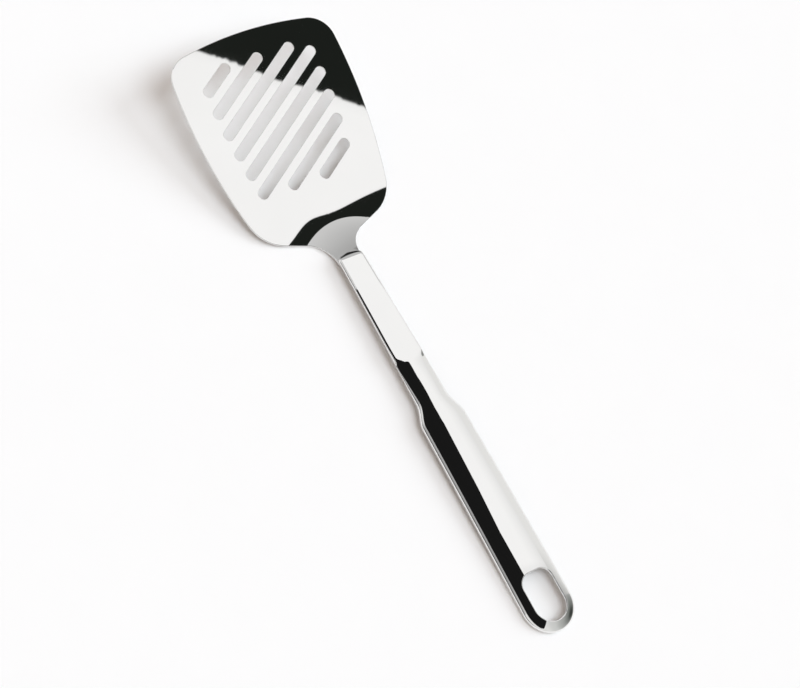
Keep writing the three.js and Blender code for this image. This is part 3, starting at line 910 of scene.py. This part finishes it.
def toward(axis):
    """How far a ray's way points along an axis, from 0 for against it to 1 for along it."""
    node = nodes.new("ShaderNodeVectorMath")
    node.operation = "DOT_PRODUCT"
    node.inputs[1].default_value = axis
    links.new(way.outputs["Generated"], node.inputs[0])
    spread_node = nodes.new("ShaderNodeMapRange")
    spread_node.inputs["From Min"].default_value = -1
    spread_node.inputs["From Max"].default_value = 1
    links.new(node.outputs["Value"], spread_node.inputs["Value"])
    return spread_node.outputs["Result"]


def half(value):
    """A cosine from -1 to 1 on the scale that toward gives."""
    return (value + 1) / 2


FRONT_FLAG = (0.71487, -0.682, 0.15439)
front_ramp = ramp(nodes, [
    (half(-1.0), (0.12, 0.12, 0.12)),
    (half(-0.45), (0.3, 0.3, 0.3)),
    (half(-0.1), (0.6, 0.6, 0.6)),
    (half(0.25), (1, 1, 1)),
    (half(0.44), (1, 1, 1)),
    (half(0.46), (0.66, 0.66, 0.66)),
    (half(0.86), (0.42, 0.42, 0.42)),
    (half(0.89), (0.1, 0.1, 0.1)),
    (half(0.95), (0.03, 0.03, 0.03)),
])
front_way = toward(FRONT_FLAG)
links.new(front_way, front_ramp.inputs["Fac"])
sky_ramp = ramp(nodes, [(half(0.05), (0.62, 0.62, 0.62)), (half(0.45), (1, 1, 1))])
links.new(toward((0, 0, 1)), sky_ramp.inputs["Fac"])


def edge(way_out, at, soft):
    """0 before a place along a way and 1 after it."""
    node = nodes.new("ShaderNodeMapRange")
    node.interpolation_type = "SMOOTHSTEP"
    node.inputs["From Min"].default_value = half(at - soft)
    node.inputs["From Max"].default_value = half(at + soft)
    links.new(way_out, node.inputs["Value"])
    return node.outputs["Result"]


def less(first, second):
    node = nodes.new("ShaderNodeMath")
    node.operation = "SUBTRACT"
    node.use_clamp = True
    links.new(first, node.inputs[0])
    links.new(second, node.inputs[1])
    return node.outputs["Value"]


def between(way_out, low, low_soft, high, high_soft):
    return less(edge(way_out, low, low_soft), edge(way_out, high, high_soft))


def flagged(colour, mask, black):
    node = nodes.new("ShaderNodeMix")
    node.data_type = "RGBA"
    links.new(mask, node.inputs["Factor"])
    links.new(colour, node.inputs["A"])
    node.inputs["B"].default_value = (*black, 1)
    return node.outputs["Result"]


def times(first, second):
    node = nodes.new("ShaderNodeMix")
    node.data_type = "RGBA"
    node.blend_type = "MULTIPLY"
    node.inputs["Factor"].default_value = 1
    links.new(first, node.inputs["A"])
    links.new(second, node.inputs["B"])
    return node.outputs["Result"]


# Front flag, right wall, soft dark corner behind on the right, and low left flag cut short behind;
# each edge is a place along its way and a softness
FRONT_FLAG_START = (0.4414, 0.0006)
FRONT_FLAG_STOP = (0.48, 0.002)
FLAG_BLACK = (0.012, 0.014, 0.012)
RIGHT_WALL = (0, -1, 0)
RIGHT_WALL_EDGE = (0.66, 0.05)
RIGHT_WALL_TONE = (0.84, 0.84, 0.83)
REARWARD = (-1, 0, 0)
CORNER_EDGE = (-0.095, 0.027)
BLADE_EDGE_OFF = (0.95, 0.015)
LOW_LEFT_EDGE = (0.5, 0.02)
LEFT_REAR_EDGE = (0.07, 0.02)
LEFT_BLACK = (0.01, 0.011, 0.01)
PLAIN_LIGHT = (1.12, 0.98, 0.89, 1)
PLAIN_STRENGTH = 0.435
LOW_LEFT_FLAG = (0.0, 0.707, -0.707)
LEFT_REAR_CUT = (0.473, 0.812, 0.3425)
BEHIND_RIGHT = (-0.37, -0.88, 0.3)
BLADE_WAY = (-0.12, -0.46, 0.88)
seen = times(front_ramp.outputs["Color"], sky_ramp.outputs["Color"])
seen = flagged(seen, between(front_way, *FRONT_FLAG_START, *FRONT_FLAG_STOP), FLAG_BLACK)
seen = flagged(seen, edge(toward(RIGHT_WALL), *RIGHT_WALL_EDGE), RIGHT_WALL_TONE)
corner_ramp = ramp(nodes, [
    (half(0.4), (0.8, 0.8, 0.79)),
    (half(0.59), (0.67, 0.68, 0.67)),
    (half(0.71), (0.62, 0.63, 0.62)),
    (half(0.84), (0.44, 0.45, 0.44)),
    (half(0.9), (0.37, 0.38, 0.37)),
    (half(0.94), (0.27, 0.28, 0.27)),
    (half(0.975), (0.18, 0.19, 0.18)),
    (half(0.998), (0.04, 0.045, 0.04)),
])
links.new(toward(BEHIND_RIGHT), corner_ramp.inputs["Fac"])
corner_mask = less(edge(toward(REARWARD), *CORNER_EDGE), edge(toward(BLADE_WAY), *BLADE_EDGE_OFF))
corner_mix = nodes.new("ShaderNodeMix")
corner_mix.data_type = "RGBA"
links.new(corner_mask, corner_mix.inputs["Factor"])
links.new(seen, corner_mix.inputs["A"])
links.new(corner_ramp.outputs["Color"], corner_mix.inputs["B"])
left_cut = nodes.new("ShaderNodeMath")
left_cut.operation = "MULTIPLY"
links.new(edge(toward(LOW_LEFT_FLAG), *LOW_LEFT_EDGE), left_cut.inputs[0])
links.new(edge(toward(LEFT_REAR_CUT), *LEFT_REAR_EDGE), left_cut.inputs[1])
seen = flagged(corner_mix.outputs["Result"], left_cut.outputs["Value"], LEFT_BLACK)
light_path = nodes.new("ShaderNodeLightPath")
mirror = nodes.new("ShaderNodeBackground")
mirror.inputs["Strength"].default_value = 1
links.new(seen, mirror.inputs["Color"])
plain = nodes.new("ShaderNodeBackground")
plain.inputs["Color"].default_value = PLAIN_LIGHT
plain.inputs["Strength"].default_value = PLAIN_STRENGTH
backdrop = nodes.new("ShaderNodeBackground")
backdrop.inputs["Strength"].default_value = 1
backdrop.inputs["Color"].default_value = (1, 1, 1, 1)
first_mix = nodes.new("ShaderNodeMixShader")
links.new(light_path.outputs["Is Glossy Ray"], first_mix.inputs["Fac"])
links.new(plain.outputs["Background"], first_mix.inputs[1])
links.new(mirror.outputs["Background"], first_mix.inputs[2])
straight_view = nodes.new("ShaderNodeMath")
straight_view.operation = "MAXIMUM"
links.new(light_path.outputs["Is Camera Ray"], straight_view.inputs[0])
links.new(light_path.outputs["Is Transmission Ray"], straight_view.inputs[1])
second_mix = nodes.new("ShaderNodeMixShader")
links.new(straight_view.outputs["Value"], second_mix.inputs["Fac"])
links.new(first_mix.outputs["Shader"], second_mix.inputs[1])
links.new(backdrop.outputs["Background"], second_mix.inputs[2])
links.new(second_mix.outputs["Shader"], out.inputs["Surface"])

# Soft light from above, and a lower one from the right that draws the shadow of the low handle
LIGHT_COLOUR = (0.9, 1.0, 1.08)


def soft_light(name, place_from, angle, strength):
    data = bpy.data.lights.new(name, "SUN")
    data.angle = math.radians(angle)
    data.energy = strength
    data.color = LIGHT_COLOUR
    light = bpy.data.objects.new(name, data)
    light.location = place_from
    light.rotation_mode = "QUATERNION"
    light.rotation_quaternion = (-Vector(place_from)).to_track_quat("-Z", "Y")
    light.visible_glossy = False
    light.visible_camera = False
    bpy.context.scene.collection.objects.link(light)


soft_light("key", (-0.35, -0.25, 1.0), 45, 1.22)
soft_light("low", (-0.3, -1.35, 0.8), 35, 1.42)

# Camera fitted to the photo
camera_data = bpy.data.cameras.new("camera")
camera_data.sensor_width = 36
camera_data.lens = 108
camera = bpy.data.objects.new("camera", camera_data)
right = Vector((-0.482356, -0.8225909, 0.301126))
up = Vector((0.8398262, -0.3365333, 0.4259546))
back = Vector((-0.2490474, 0.4583552, 0.8531623))
turn = Matrix((right, up, back)).transposed().to_4x4()
camera.matrix_world = Matrix.Translation((-0.2938793, 0.52635, 0.9835159)) @ turn
bpy.context.scene.collection.objects.link(camera)
bpy.context.scene.camera = camera

bpy.context.scene.view_settings.view_transform = "Standard"
